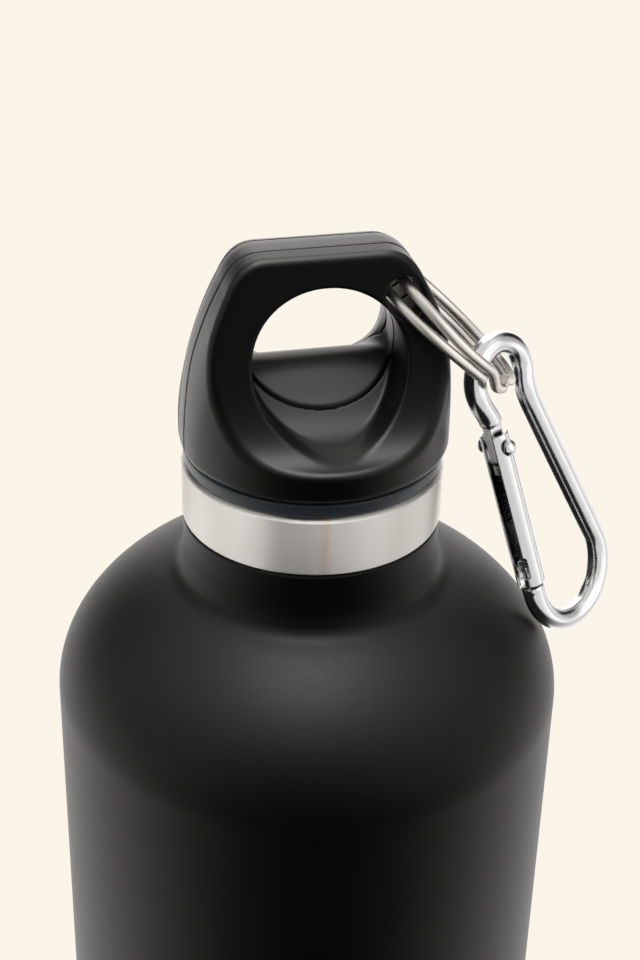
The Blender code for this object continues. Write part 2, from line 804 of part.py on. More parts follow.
def rod_path():
    """Centre line of the bent rod: hinge shoulder, bow, spine, basket and nose."""
    gate = gate_frame()
    shoulder = gate @ Vector((0, ROD_SHOULDER, 0))
    nose = gate @ Vector((0, NOSE_TOP, 0))
    bow = arc(BOW_CENTRE, BOW_RADIUS, pi + BOW_OPENING, -BOW_OPENING, 15)
    first = Vector((sin(BOW_OPENING), -cos(BOW_OPENING))) * 1.8 * MM
    hinge_leg = bezier(
        (shoulder.x, shoulder.y),
        (shoulder.x, shoulder.y + 1.4 * MM),
        (bow[0][0] + first.x, bow[0][1] + first.y),
        bow[0],
        4,
    )
    touch = spine_touch()
    basket = arc(BASKET_CENTRE, BASKET_RADIUS, touch, -pi, 16)
    spine = Vector((basket[0][0] - SPINE_TOP.x, basket[0][1] - SPINE_TOP.y)).normalized() * 2.4 * MM
    waist = bezier(
        bow[-1],
        (bow[-1][0] - first.x, bow[-1][1] + first.y),
        (SPINE_TOP.x - spine.x, SPINE_TOP.y - spine.y),
        (SPINE_TOP.x, SPINE_TOP.y),
        4,
    )
    flat = [(shoulder.x, shoulder.y)] + hinge_leg + bow[1:] + waist + basket
    flat.append((nose.x, nose.y))
    return [Vector((x, y, 0)) for x, y in flat]


def carabiner_body(frame):
    """Bent rod with a flat tongue for the hinge and a T-shaped nose for the gate's slot."""
    body = wire("carabiner_body", rod_path(), ROD_RADIUS, matrix=frame)
    gate = frame @ gate_frame()
    bury = 1.5 * MM
    head_middle = NOSE_TOP + NOSE_HEAD_RISE
    tongue = box(
        "tongue",
        (-TONGUE_HALF_WIDTH, TONGUE_BOTTOM, -TONGUE_HALF_THICKNESS),
        (TONGUE_HALF_WIDTH, ROD_SHOULDER + bury, TONGUE_HALF_THICKNESS),
        gate,
    )
    neck = box(
        "nose_neck",
        (-NECK_HALF_WIDTH, NOSE_TOP - bury, -NECK_HALF_THICKNESS),
        (NECK_HALF_WIDTH, head_middle - 0.35 * MM, NECK_HALF_THICKNESS),
        gate,
    )
    head = cylinder(
        "nose_head", NOSE_HEAD_RADIUS, NOSE_HEAD_LENGTH, (0, head_middle, 0), steps=12, matrix=gate
    )
    hole = cylinder("tongue_hole", RIVET_HOLE, 5 * MM, (0, 0, 0), matrix=gate)
    join(body, tongue, neck, head)
    return cut(body, hole)


def carabiner_gate(gate):
    """Rolled tube: an open seam on the outer side, a fork on top and a window for the nose."""
    length = GATE_TOP - GATE_BOTTOM
    middle = (GATE_TOP + GATE_BOTTOM) / 2
    tube = cylinder("carabiner_gate", GATE_RADIUS, length, (0, middle, 0), "Y", matrix=gate)
    bore = cylinder("gate_bore", GATE_BORE, length + 2 * MM, (0, middle, 0), "Y", matrix=gate)
    reach = 4 * MM
    top = GATE_TOP + MM
    seam = box("seam", (-reach, WINDOW_HIGH - GAP, -SEAM_HALF), (0, top, SEAM_HALF), gate)
    window = box("window", (-reach, WINDOW_LOW, -WINDOW_HALF), (0, WINDOW_HIGH, WINDOW_HALF), gate)
    lip = box("lip", (-reach, GATE_BOTTOM - MM, -LIP_HALF), (0, WINDOW_LOW + GAP, LIP_HALF), gate)
    fork = box("fork", (0, -FORK_DEPTH, -SEAM_HALF), (reach, top, SEAM_HALF), gate)
    holes = cylinder("ear_holes", RIVET_HOLE, 4 * GATE_RADIUS, (0, 0, 0), matrix=gate)
    return cut(tube, bore, seam, window, lip, fork, holes)


def gate_rivet(gate):
    """Pin with a domed head on each side of the gate."""
    seat = GATE_RADIUS + GAP
    half = [(0, seat + RIVET_CROWN)]
    half.append((0.55 * RIVET_HEAD, seat + 0.8 * RIVET_CROWN))
    half.append((0.9 * RIVET_HEAD, seat + 0.4 * RIVET_CROWN))
    half += [(RIVET_HEAD, seat), (RIVET_RADIUS, seat)]
    profile = half + [(x, -z) for x, z in half[::-1]]
    return turned("gate_rivet", profile, SMALL_STEPS, gate)


def gate_spring(gate):
    per_turn = 10
    count = SPRING_TURNS * per_turn
    points = []
    for i in range(count + 1):
        angle = 2 * pi * i / per_turn
        height = SPRING_TOP + (SPRING_BOTTOM - SPRING_TOP) * i / count
        points.append((SPRING_RADIUS * cos(angle), height, SPRING_RADIUS * sin(angle)))
    return wire("gate_spring", points, SPRING_WIRE, sides=1, matrix=gate)


def gate_plunger(gate):
    middle = (0, PLUNGER_MIDDLE, 0)
    return cylinder("gate_plunger", PLUNGER_RADIUS, PLUNGER_LENGTH, middle, "Y", steps=16, matrix=gate)


# ---------------------------------------------------------------- assembly

def build():
    coat = material("black_powder_coat", BLACK_COAT, 0.45)
    plastic = material("black_cap_plastic", BLACK_PLASTIC, 0.5)
    grey = material("grey_plug_plastic", GREY_PLASTIC, 0.4)
    steel = material("brushed_steel", STEEL, 0.32, 1.0)
    polished = material("polished_aluminium", POLISHED, 0.16, 1.0)
    copper = material("copper_foil", COPPER, 0.3, 1.0)
    silicone = material("black_silicone", SILICONE, 0.6)
    foam = material("plug_foam", FOAM, 0.9)
    solder = material("solder", SOLDER, 0.4, 1.0)

    part(outer_shell(), coat)
    part(neck_collar(), steel)
    part(inner_liner(), steel)
    part(radiation_foil(), copper)
    part(vacuum_base_cup(), coat)
    part(vacuum_seal(), solder)
    part(getter_capsule(), steel)
    part(base_cover(), steel)

    cap_pivot = pivot("cap_pivot", Matrix.Translation((0, 0, FLANGE_TOP)))
    part(seal_gasket(), silicone, cap_pivot)
    part(cap_plug(), grey, cap_pivot)
    part(plug_insulation(), foam, cap_pivot)
    part(plug_end_disc(), steel, cap_pivot)
    blanks = cap_blanks()
    part(cap_core(blanks), plastic, cap_pivot)
    part(cap_shell("cap_front_shell", -1, blanks), plastic, cap_pivot)
    part(cap_shell("cap_rear_shell", 1, blanks), plastic, cap_pivot)

    ring_pivot = pivot("ring_pivot", Matrix.Translation(RING_HOLE), cap_pivot)
    part(split_ring(), steel, ring_pivot)

    frame = carabiner_frame()
    carabiner_pivot = pivot("carabiner_pivot", frame, ring_pivot)
    part(carabiner_body(frame), polished, carabiner_pivot)
    gate = frame @ gate_frame()
    gate_pivot = pivot("gate_pivot", gate, carabiner_pivot)
    part(gate_rivet(gate), polished, carabiner_pivot)
    part(carabiner_gate(gate), polished, gate_pivot)
    part(gate_spring(gate), steel, gate_pivot)
    part(gate_plunger(gate), steel, gate_pivot)


clear_scene()
PARTS = new_collection("insulated_water_bottle")
CUTTERS = new_collection("cutters", hidden=True)
build()
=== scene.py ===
"""Looks of the insulated water bottle: high-resolution pieces and procedural materials round the frame.

The frame is in metres, with +Z up. Shapes are worked out in millimetres, with heights from the middle
of the steel band. The cap and the carabiner are signed distance fields, which give every edge its own
rounding, meshed with OpenVDB.
"""

import json
from math import acos, atan2, cos, pi, radians, sin

import bmesh
import bpy
import numpy as np
import openvdb
from mathutils import Matrix, Vector


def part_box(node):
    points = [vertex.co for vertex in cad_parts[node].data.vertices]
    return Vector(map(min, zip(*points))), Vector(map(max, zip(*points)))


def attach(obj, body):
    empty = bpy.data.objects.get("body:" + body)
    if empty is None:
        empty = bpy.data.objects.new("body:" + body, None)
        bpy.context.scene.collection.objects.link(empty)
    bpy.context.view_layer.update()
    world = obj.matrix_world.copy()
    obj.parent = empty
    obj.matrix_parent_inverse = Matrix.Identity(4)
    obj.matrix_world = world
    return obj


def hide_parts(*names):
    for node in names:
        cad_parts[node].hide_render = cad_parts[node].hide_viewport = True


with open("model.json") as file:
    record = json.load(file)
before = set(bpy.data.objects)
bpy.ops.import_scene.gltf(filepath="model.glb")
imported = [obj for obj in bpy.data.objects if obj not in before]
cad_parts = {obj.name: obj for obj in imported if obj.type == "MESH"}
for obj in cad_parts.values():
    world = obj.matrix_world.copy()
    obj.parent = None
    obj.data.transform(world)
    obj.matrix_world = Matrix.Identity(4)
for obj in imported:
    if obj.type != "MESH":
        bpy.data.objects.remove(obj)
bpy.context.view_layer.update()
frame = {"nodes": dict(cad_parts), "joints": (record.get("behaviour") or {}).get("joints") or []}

MM = 0.001
JOINTS = {joint["name"]: joint for joint in frame["joints"]}


def low(node):
    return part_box(node)[0]


def high(node):
    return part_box(node)[1]


# Steel band. The height of its middle is the zero of all heights below
BAND_Z = (low("neck_collar").z + high("neck_collar").z) / 2 / MM
BAND_HALF = (high("neck_collar").z - low("neck_collar").z) / 2 / MM
BAND_RADIUS = high("neck_collar").y / MM
BAND_WALL = 1.4
BAND_EDGE = 0.35


def underside(node):
    """Height of a CAD node's lowest point."""
    return low(node).z / MM - BAND_Z


def upside(node):
    """Height of a CAD node's highest point."""
    return high(node).z / MM - BAND_Z


def outer_radius(node):
    """Radius of a CAD node turned about the bottle's axis."""
    return high(node).y / MM


# Bottle
BODY_RADIUS = outer_radius("outer_shell")
BODY_LOW = underside("outer_shell")
BODY_WALL = 1.0
NECK_RADIUS = 22.2
NECK_WALL = 0.8
COAT_EDGE = 0.35  # gap below the band, and height of the bevel on the coat's edge
COAT_EDGE_DEPTH = 0.25  # depth of that bevel
NECK_FILLET_TOP = -11.0
NECK_FILLET_PULL = 3.6  # this and the next three are the handles of the neck's two curves
SHOULDER_END_BEFORE = (-2.0, 0.9)
SHOULDER_END_AFTER = (8.8, -3.9)
SHOULDER_START_PULL = 11.1
SHOULDER_END = (25.2, -17.1)
SHOULDER_START = -40.6
BASE_EDGE = 4.5

# Gasket, plug and its thread
GASKET_LOW = underside("seal_gasket")
GASKET_TOP = upside("seal_gasket")
GASKET_RADIUS = outer_radius("seal_gasket")
GASKET_WIDTH = 2.0
GASKET_EDGE = 0.35
FLANGE_TOP = upside("cap_plug")
FLANGE_RADIUS = outer_radius("cap_plug")
FLANGE_OVERLAP = 0.25  # how far the gasket stands out of its groove
GROOVE_GAP = 0.3
PLUG_LOW = underside("cap_plug")
PLUG_RADIUS = 18.3
PLUG_BORE = 16.7
PLUG_ROOF = 5.9
PLUG_EDGE = 0.5
THREAD_RADIUS = 18.35
THREAD_START = -13.0
THREAD_DEPTH = 0.9
THREAD_PITCH = 5.0
THREAD_TURNS = 1.25
THREAD_STEPS = 160
THREAD_RUN_OUT = 10  # steps over which each end grows to the full size
THREAD_END_SIZE = 0.25  # relative size of the very end

# Cap
CAP_RADIUS = 23.0
CAP_LOW = underside("cap_front_shell")
CAP_TOP = upside("cap_core")
RIM_ROUNDING = 1.8
ARCH_ROUNDING = 2.2
FRONT_ROUNDING = 1.1
REAR_ROUNDING = 2.5
LEDGE = 13.9  # height of the ledge that the two faces flare out to
SEAM_HALF = 2.55  # half-width of the strap between the two seams
SEAM_GAP = 0.26
SEAM_ROUNDING = 0.22
CROWN_START = -0.5  # behind this depth the outer side curves in
CROWN_RADIUS = 13.0
CROWN_FADE = (14.0, 24.0)  # heights where it sets in
FLARE_RADIUS = 45.0  # the finger opening widens towards the rear
INSERT_HALF_WIDTH = 12.6  # of the elliptical insert under the fingers
INSERT_HALF_DEPTH = 8.35
INSERT_TOP = 30.0
SADDLE_LOW = 14.2
SADDLE_RISE = 10.6
SADDLE_SPREAD = 8.92
OPENING_ROUNDING = 0.5
SWEEP_START = -3.0  # from this depth to the rear the floor sweeps up into the pillars
SWEEP_END = 7.0
SWEEP_RADIUS = 6.5
RING_HOLE = Vector(JOINTS["ring_swing"]["pos_m"])
RING_HOLE_RADIUS = 3.15
RING_HOLE_ROUNDING = 0.35
RING_HOLE_FLARE = (6.5, 9.0)  # depths, to either side, between which the hole widens
RING_HOLE_LEAN = 0.5  # how far its middle moves outward there
RING_HOLE_WIDENING = 0.2

# Split ring. Angles round the ring are from its lowest point, towards the rear
RING_DROP = radians(43.5)
RING_WIRE = 0.9
RING_WIRE_END = 0.86  # relative size of the two cut ends
RING_RADIUS = 14.6
RING_SAG = 1.35
RING_PITCH = 1.85
RING_SPLAY = 1.2  # how much further apart the two turns lie in the hole
RING_START = radians(-62)
RING_CROSSING = radians(26)
RING_END_GAP = radians(9)
RING_STEPS = 480

# Carabiner, in its own frame: x towards the spine, y up, z out of its plane
GATE_LEAN = radians(3.2)
ROD_RADIUS = 2.0
BOW_RADIUS = 6.3
BOW_CENTRE = Vector((-0.6, -1.2))
BOW_OPENING = radians(15)
BASKET_RADIUS = 9.4
BASKET_CENTRE = BOW_CENTRE + Vector((7.0, -40.3))
SPINE_TOP = BOW_CENTRE + Vector((6.7, -8.0))
RIVET_CENTRE = BOW_CENTRE + Vector((-4.1, -10.9))
ROD_SHOULDER = 4.4
SHOULDER_PULL = 1.4  # this and the next three are the handles of the rod's bends
BOW_PULL = 1.8
SPINE_PULL = 2.4
NOSE_PULL = 1.6
TONGUE_MIDDLE = 1.5
TONGUE_HALF = (1.5, 4.4, 1.0)
NOSE_TOP = -28.0
NOSE_NECK_MIDDLE = NOSE_TOP + 1.3
NOSE_NECK_HALF = (1.2, 2.8, 0.6)
NOSE_HEAD_RISE = 4.4
NOSE_HEAD_RADIUS = 0.9
NOSE_HEAD_HALF = 1.45
PIN_HOLE_RADIUS = 0.95

# Gate and rivet, in the gate's frame: x towards the spine, y up the gate, z out of the plane
GATE_RADIUS = 2.5
GATE_BORE = 1.9
GATE_TOP = 2.6
GATE_BOTTOM = -27.4
CUT_REACH = 3.0  # half the size of a cut through the wall, past the tube
SEAM_TOP = 6.0
SEAM_HALF_WIDTH = 1.2
WINDOW_LOW = NOSE_TOP + 2.6
WINDOW_HIGH = NOSE_TOP + 6.6
WINDOW_HALF_WIDTH = 1.75
LIP_LOW = GATE_BOTTOM - 2.3
LIP_HIGH = WINDOW_LOW + 0.3
LIP_HALF_WIDTH = 0.9
FORK_DEPTH = 4.2
FORK_HALF_WIDTH = 1.2
RIVET_SEAT = GATE_RADIUS + 0.3
RIVET_HEAD_RADIUS = 1.5
RIVET_DOME_RADIUS = 1.57
RIVET_DOME_DEPTH = 0.47  # of the dome's centre below the seat
RIVET_PIN_RADIUS = 0.8
RIVET_PIN_PAST_SEAT = 0.5

# Steps of the distance fields' grids
CAP_STEP, ROD_STEP, GATE_STEP, RIVET_STEP = 0.23, 0.15, 0.1, 0.07

# Camera, seen from the band's middle
VIEW_AZIMUTH = radians(-14)
VIEW_ELEVATION = radians(30.406)
VIEW_ROLL = radians(1.48)
VIEW_DISTANCE = 315.5 * MM
VIEW_SHIFT = 1.42 * MM
LENS = 68.76
SENSOR_WIDTH = 36
CLIP_START = 0.01

# Studio. Azimuths are from the camera; a climb is its start, end and top, a plateau also its softness
CREAM = (0.956, 0.905, 0.807, 1)  # the backdrop
LIGHT_COLOUR = (1.0, 0.985, 0.96, 1)
FLOOR_RADIUS = 6
FLOOR_COLOUR = (0.06, 0.057, 0.05, 1)
FLOOR_GLOW = 0.947
AMBIENT = 0.015
OVERHEAD_CLIMB = (0.45, 1.0, 1.0)  # over the sine of the elevation
GROUND_EDGE = (radians(-12), radians(4))  # elevations between which the ground's light ends
GROUND_MIDDLE = radians(8)
GROUND_CLIMB = (radians(28), radians(138), 1.7)  # over the azimuth either side of its middle
SIDE_PANELS = (radians(34), radians(117), radians(2.5), 0.60)
BACK_CLIMB = (radians(145), radians(160), 1.9)
UPRIGHT_LEVEL = (radians(-6), radians(64), radians(4))  # elevations of the panels and the back


# ---------------------------------------------------------------- helpers

def placed(name, data):
    """A new object of the scene."""
    obj = bpy.data.objects.new(name, data)
    bpy.context.scene.collection.objects.link(obj)
    return obj


def smooth_share(value, start, end):
    """A smooth climb from 0 at start to 1 at end."""
    share = np.clip((value - start) / (end - start), 0, 1)
    return share * share * (3 - 2 * share)


# ---------------------------------------------------------------- outlines

def bezier(start, first, second, end, steps):
    """Points of one cubic curve, without its start."""
    found = []
    for i in range(1, steps + 1):
        t = i / steps
        weights = ((1 - t) ** 3, 3 * t * (1 - t) ** 2, 3 * t * t * (1 - t), t**3)
        points = (start, first, second, end)
        found.append(tuple(sum(w * p[k] for w, p in zip(weights, points)) for k in (0, 1)))
    return found


def arc(centre, radius, start, end, steps):
    """Points of a circular arc, both ends included."""
    found = []
    for i in range(steps + 1):
        angle = start + (end - start) * i / steps
        found.append((centre[0] + radius * cos(angle), centre[1] + radius * sin(angle)))
    return found


def mirrored(half):
    """A closed outline from its right half, listed from the top middle to the bottom middle."""
    return half + [(-x, y) for x, y in half[::-1] if abs(x) > 1e-6]


# ---------------------------------------------------------------- turned pieces

def turned(name, profile, steps=192, closed=False, smooth_angle=30):
    """A (radius, height) profile in millimetres turned about the bottle's axis."""
    mesh = bpy.data.meshes.new(name)
    points = [(radius * MM, 0, (height + BAND_Z) * MM) for radius, height in profile]
    edges = [(i, i + 1) for i in range(len(points) - 1)]
    if closed:
        edges.append((len(points) - 1, 0))
    mesh.from_pydata(points, edges, [])
    work = bmesh.new()
    work.from_mesh(mesh)
    bmesh.ops.spin(
        work,
        geom=work.verts[:] + work.edges[:],
        axis=(0, 0, 1),
        cent=(0, 0, 0),
        angle=2 * pi,
        steps=steps,
        use_merge=True,
    )
    bmesh.ops.remove_doubles(work, verts=work.verts, dist=0.002 * MM)
    bmesh.ops.recalc_face_normals(work, faces=work.faces)
    work.to_mesh(mesh)
    work.free()
    mesh.shade_smooth()
    mesh.set_sharp_from_angle(angle=radians(smooth_angle))
    return placed(name, mesh)


def body_contour():
    """Outside of the body from the band down to the start of the base edge."""
    end = SHOULDER_END
    fillet_top = (NECK_RADIUS, NECK_FILLET_TOP)
    start = (BODY_RADIUS, SHOULDER_START)
    points = [(NECK_RADIUS - COAT_EDGE_DEPTH, -BAND_HALF - COAT_EDGE)]
    points.append((NECK_RADIUS, -BAND_HALF - 2 * COAT_EDGE))
    points.append(fillet_top)
    points += bezier(
        fillet_top,
        (NECK_RADIUS, NECK_FILLET_TOP - NECK_FILLET_PULL),
        (end[0] + SHOULDER_END_BEFORE[0], end[1] + SHOULDER_END_BEFORE[1]),
        end,
        20,
    )
    points += bezier(
        end,
        (end[0] + SHOULDER_END_AFTER[0], end[1] + SHOULDER_END_AFTER[1]),
        (BODY_RADIUS, SHOULDER_START + SHOULDER_START_PULL),
        start,
        40,
    )
    return points


def bottle_body():
    inner_edge = BODY_RADIUS - BASE_EDGE
    outside = body_contour() + arc((inner_edge, BODY_LOW + BASE_EDGE), BASE_EDGE, 0, -pi / 2, 12)
    inside = [
        (inner_edge, BODY_LOW + BODY_WALL / 2),
        (BODY_RADIUS - BODY_WALL, BODY_LOW + BASE_EDGE + BODY_WALL),
        (BODY_RADIUS - BODY_WALL, SHOULDER_START),
        (SHOULDER_END[0] - BODY_WALL, SHOULDER_END[1] - 1.2 * BODY_WALL),
        (NECK_RADIUS - NECK_WALL, NECK_FILLET_TOP),
        (NECK_RADIUS - NECK_WALL, -BAND_HALF - COAT_EDGE),
    ]
    return turned("bottle_body", outside + inside, 256, closed=True)


def steel_band():
    bore = BAND_RADIUS - BAND_WALL
    edge = BAND_EDGE
    profile = [(bore, BAND_HALF)]
    profile += arc((BAND_RADIUS - edge, BAND_HALF - edge), edge, pi / 2, 0, 5)
    profile += arc((BAND_RADIUS - edge, -BAND_HALF + edge), edge, 0, -pi / 2, 5)
    profile.append((bore, -BAND_HALF))
    return turned("steel_band", profile, 256, closed=True)


def gasket_ring():
    edge = GASKET_EDGE
    outer = GASKET_RADIUS - edge
    inner = GASKET_RADIUS - GASKET_WIDTH + edge
    profile = arc((outer, GASKET_TOP - edge), edge, pi / 2, 0, 4)
    profile += arc((outer, GASKET_LOW + edge), edge, 0, -pi / 2, 4)
    profile += arc((inner, GASKET_LOW + edge), edge, -pi / 2, -pi, 4)
    profile += arc((inner, GASKET_TOP - edge), edge, pi, pi / 2, 4)
    return turned("gasket_ring", profile, 160, closed=True)


def plug_body():
    """Hollow plug under a flange, open below, with a groove for the gasket."""
    edge = PLUG_EDGE
    under = GASKET_LOW + FLANGE_OVERLAP
    groove_outer = GASKET_RADIUS + GROOVE_GAP
    groove_inner = GASKET_RADIUS - GASKET_WIDTH - GROOVE_GAP
    groove_top = GASKET_TOP + GROOVE_GAP
    profile = [(0, FLANGE_TOP), (FLANGE_RADIUS - edge, FLANGE_TOP)]
    profile += arc((FLANGE_RADIUS - edge, FLANGE_TOP - edge), edge, pi / 2, 0, 5)[1:]
    profile += arc((FLANGE_RADIUS - edge, under + edge), edge, 0, -pi / 2, 5)
    profile += [(groove_outer, under), (groove_outer, groove_top)]
    profile += [(groove_inner, groove_top), (groove_inner, under)]
    profile += [(PLUG_RADIUS + edge, under), (PLUG_RADIUS, under - edge)]
    profile += [(PLUG_RADIUS, PLUG_LOW + edge)]
    profile += arc((PLUG_RADIUS - edge, PLUG_LOW + edge), edge, 0, -pi / 2, 4)[1:]
    profile += [(PLUG_BORE, PLUG_LOW), (PLUG_BORE, PLUG_ROOF), (0, PLUG_ROOF)]
    return turned("plug_body", profile, 192)


# ---------------------------------------------------------------- wires

def round_wire(name, radius, resolution, stations):
    """A round wire, as a welded mesh, through stations of a place in metres and a relative size."""
    curve = bpy.data.curves.new(name, "CURVE")
    curve.dimensions = "3D"
    curve.bevel_depth = radius * MM
    curve.bevel_resolution = resolution
    curve.use_fill_caps = True
    spline = curve.splines.new("POLY")
    spline.points.add(len(stations) - 1)
    for point, (place, size) in zip(spline.points, stations):
        point.co = (*place, 1)
        point.radius = size
    obj = placed(name, curve)
    bpy.context.view_layer.update()
    graph = bpy.context.evaluated_depsgraph_get()
    mesh = bpy.data.meshes.new_from_object(obj.evaluated_get(graph))
    bpy.data.objects.remove(obj)
    work = bmesh.new()
    work.from_mesh(mesh)
    bmesh.ops.remove_doubles(work, verts=work.verts, dist=0.001 * MM)
    bmesh.ops.recalc_face_normals(work, faces=work.faces)
    work.to_mesh(mesh)
    work.free()
    mesh.shade_smooth()
    mesh.set_sharp_from_angle(angle=radians(40))
    return placed(name, mesh)


def plug_thread():
    """A round ridge that winds up at the thread's pitch and runs out at both ends."""
    stations = []
    for i in range(THREAD_STEPS + 1):
        turn = THREAD_TURNS * i / THREAD_STEPS
        angle = 2 * pi * turn
        height = THREAD_START + THREAD_PITCH * turn + BAND_Z
        place = Vector((THREAD_RADIUS * cos(angle), THREAD_RADIUS * sin(angle), height))
        run_out = min(i, THREAD_STEPS - i) / THREAD_RUN_OUT
        size = min(1, THREAD_END_SIZE + (1 - THREAD_END_SIZE) * run_out)
        stations.append((place * MM, size))
    return round_wire("plug_thread", THREAD_DEPTH, 5, stations)


def split_ring():
    """Two turns of wire. Each lies flat, and they cross over in one short stretch."""
    down = Vector((cos(RING_DROP), 0, -sin(RING_DROP)))
    normal = Vector((sin(RING_DROP), 0, cos(RING_DROP)))
    rear = Vector((0, 1, 0))
    centre = RING_HOLE / MM + (RING_RADIUS - RING_SAG) * down
    total = 4 * pi - 2 * RING_END_GAP
    crossing = (2 * pi - RING_CROSSING / 2, 2 * pi + RING_CROSSING / 2)
    stations = []
    for i in range(RING_STEPS + 1):
        turn = RING_END_GAP + total * i / RING_STEPS
        angle = RING_START + turn
        around = cos(angle) * down + sin(angle) * rear
        rise = float(smooth_share(turn, *crossing))
        spread = RING_PITCH + RING_SPLAY * float(smooth_share(-cos(angle), 0, 1))
        place = centre + RING_RADIUS * around + (0.5 - rise) * spread * normal
        size = RING_WIRE_END if i in (0, RING_STEPS) else 1
        stations.append((place * MM, size))
    return round_wire("split_ring_wire", RING_WIRE, 8, stations)


# ---------------------------------------------------------------- distance fields

def round_and(a, b, radius):
    """Where both solids are, with the edge between them rounded."""
    inner = np.minimum(-radius, np.maximum(a, b))
    return inner + np.hypot(np.maximum(a + radius, 0), np.maximum(b + radius, 0))


def round_minus(a, b, radius):
    return round_and(a, -b, radius)


def round_or(a, b, radius):
    """Where either solid is, with a fillet between them."""
    return -round_and(-a, -b, radius)


def path_distance(points, u, v, closed=False):
    """Distance from each place (u, v) to a chain of straight stretches, and whether it is inside."""
    shape = np.broadcast_shapes(u.shape, v.shape)
    nearest = np.full(shape, np.inf)
    inside = np.zeros(shape, bool)
    ends = points[1:] + points[:1] if closed else points[1:]
    for (ax, ay), (bx, by) in zip(points, ends):
        dx, dy = bx - ax, by - ay
        length = dx * dx + dy * dy
        if length < 1e-12:
            continue
        share = np.clip(((u - ax) * dx + (v - ay) * dy) / length, 0, 1)
        nearest = np.minimum(nearest, (u - ax - share * dx) ** 2 + (v - ay - share * dy) ** 2)
        if dy:
            inside ^= ((ay > v) != (by > v)) & (u < ax + (v - ay) * dx / dy)
    return np.sqrt(nearest), inside


def outline_field(points, u, v):
    """Signed distance to a closed outline, negative inside."""
    distance, inside = path_distance(points, u, v, closed=True)
    return np.where(inside, -distance, distance)


def block_field(x, y, z, centre, half, radius=0.0):
    """Signed distance to a box with rounded edges."""
    gaps = [np.abs(p - c) - h + radius for p, c, h in zip((x, y, z), centre, half)]
    outside = np.sqrt(sum(np.maximum(gap, 0) ** 2 for gap in gaps))
    inside = np.minimum(np.maximum(np.maximum(gaps[0], gaps[1]), gaps[2]), 0)
    return outside + inside - radius


def solid(name, field, lower, upper, step, matrix):
    """Closed mesh of the surface where field(x, y, z), in millimetres, is zero."""
    axes = [np.arange(lower[k] - 2 * step, upper[k] + 3 * step, step) for k in range(3)]
    x, y, z = np.meshgrid(*axes, indexing="ij", sparse=True)
    values = np.ascontiguousarray(field(x, y, z), np.float32)
    grid = openvdb.FloatGrid(3 * step)
    grid.copyFromArray(values)
    points, quads = grid.convertToQuads(isovalue=0.0)
    points = points * step + np.array([axis[0] for axis in axes])
    mesh = bpy.data.meshes.new(name)
    mesh.from_pydata(points.tolist(), [], quads.tolist())
    work = bmesh.new()
    work.from_mesh(mesh)
    bmesh.ops.smooth_vert(
        work, verts=work.verts, factor=0.5, use_axis_x=True, use_axis_y=True, use_axis_z=True
    )
    bmesh.ops.recalc_face_normals(work, faces=work.faces)
    work.to_mesh(mesh)
    work.free()
    mesh.transform(matrix @ Matrix.Scale(MM, 4))
    mesh.shade_smooth()
    return placed(name, mesh)


# ---------------------------------------------------------------- cap

def arch_outline():
    """Front view of the cap: straight sides that round over into a flat top."""
    corner, side_high, side_low = (9.5, CAP_TOP), (16.4, 39.0), (23.6, 13.0)
    half = [(0, CAP_TOP), corner]
    half += bezier(corner, (12.8, CAP_TOP), (14.8, 42.6), side_high, 16)
    half += bezier(side_high, (19.4, 33.5), (22.3, 24.5), side_low, 16)
    half += [(side_low[0], 0), (0, 0)]
    return mirrored(half)


def side_outline():
    """Side view of one face of the cap: near at the top, flaring out to a ledge above the rim."""
    top, ledge = (6.5, 45.0), (23.5, LEDGE)
    far, above = 40, 50
    face = [(-far, above), (6.1, above), top]
    face += bezier(top, (11.8, 23.0), (14.5, LEDGE), ledge, 32)
    return face + [(far, LEDGE), (far, 0), (-far, 0)]


def opening_outline():
    """Front view of the finger opening: round on top, a drop's tip below."""
    top, widest, tip = (0, 39.3), (12.7, 28.0), (0, 14.5)
    half = [top]
    half += bezier(top, (6.7, top[1]), (12.4, 34.8), widest, 20)
    half += bezier(widest, (13.0, 21.2), (8.2, tip[1]), tip, 24)
    return mirrored(half)


def saddle_field(y, z):
    """Signed distance to the solid under the hill that the fingers pass over."""
    hill = SADDLE_RISE * np.exp(-((y / SADDLE_SPREAD) ** 2))
    slope = 2 * y / SADDLE_SPREAD**2 * hill
    return (z - SADDLE_LOW - hill) / np.sqrt(1 + slope**2)


def crown(y, z):
    """How far the outer side curves in towards the rear. The round rim below stays round."""
    start, full = CROWN_FADE
    share = np.clip((z - start) / (full - start), 0, 1)
    return share * np.maximum(y - CROWN_START, 0) ** 2 / (2 * CROWN_RADIUS)


def ring_hole_field(x, y, z):
    """The hole leans outward towards both faces, where the ring's wire turns away from the pillar."""
    flare = smooth_share(np.abs(y), *RING_HOLE_FLARE)
    centre = RING_HOLE / MM
    across = x - centre.x - RING_HOLE_LEAN * flare
    radius = RING_HOLE_RADIUS + RING_HOLE_WIDENING * flare
    return np.hypot(across, z - (centre.z - BAND_Z)) - radius


def opening_field(x, y, z):
    """The finger opening, which widens to the rear, above the floor under the fingers."""
    flare = np.maximum(y, 0) ** 2 / (2 * FLARE_RADIUS)
    fillet_growth = SWEEP_RADIUS - OPENING_ROUNDING
    fillet = OPENING_ROUNDING + fillet_growth * smooth_share(y, SWEEP_START, SWEEP_END)
    walls = outline_field(opening_outline(), x, z) - flare
    return round_and(walls, -saddle_field(y, z), fillet)


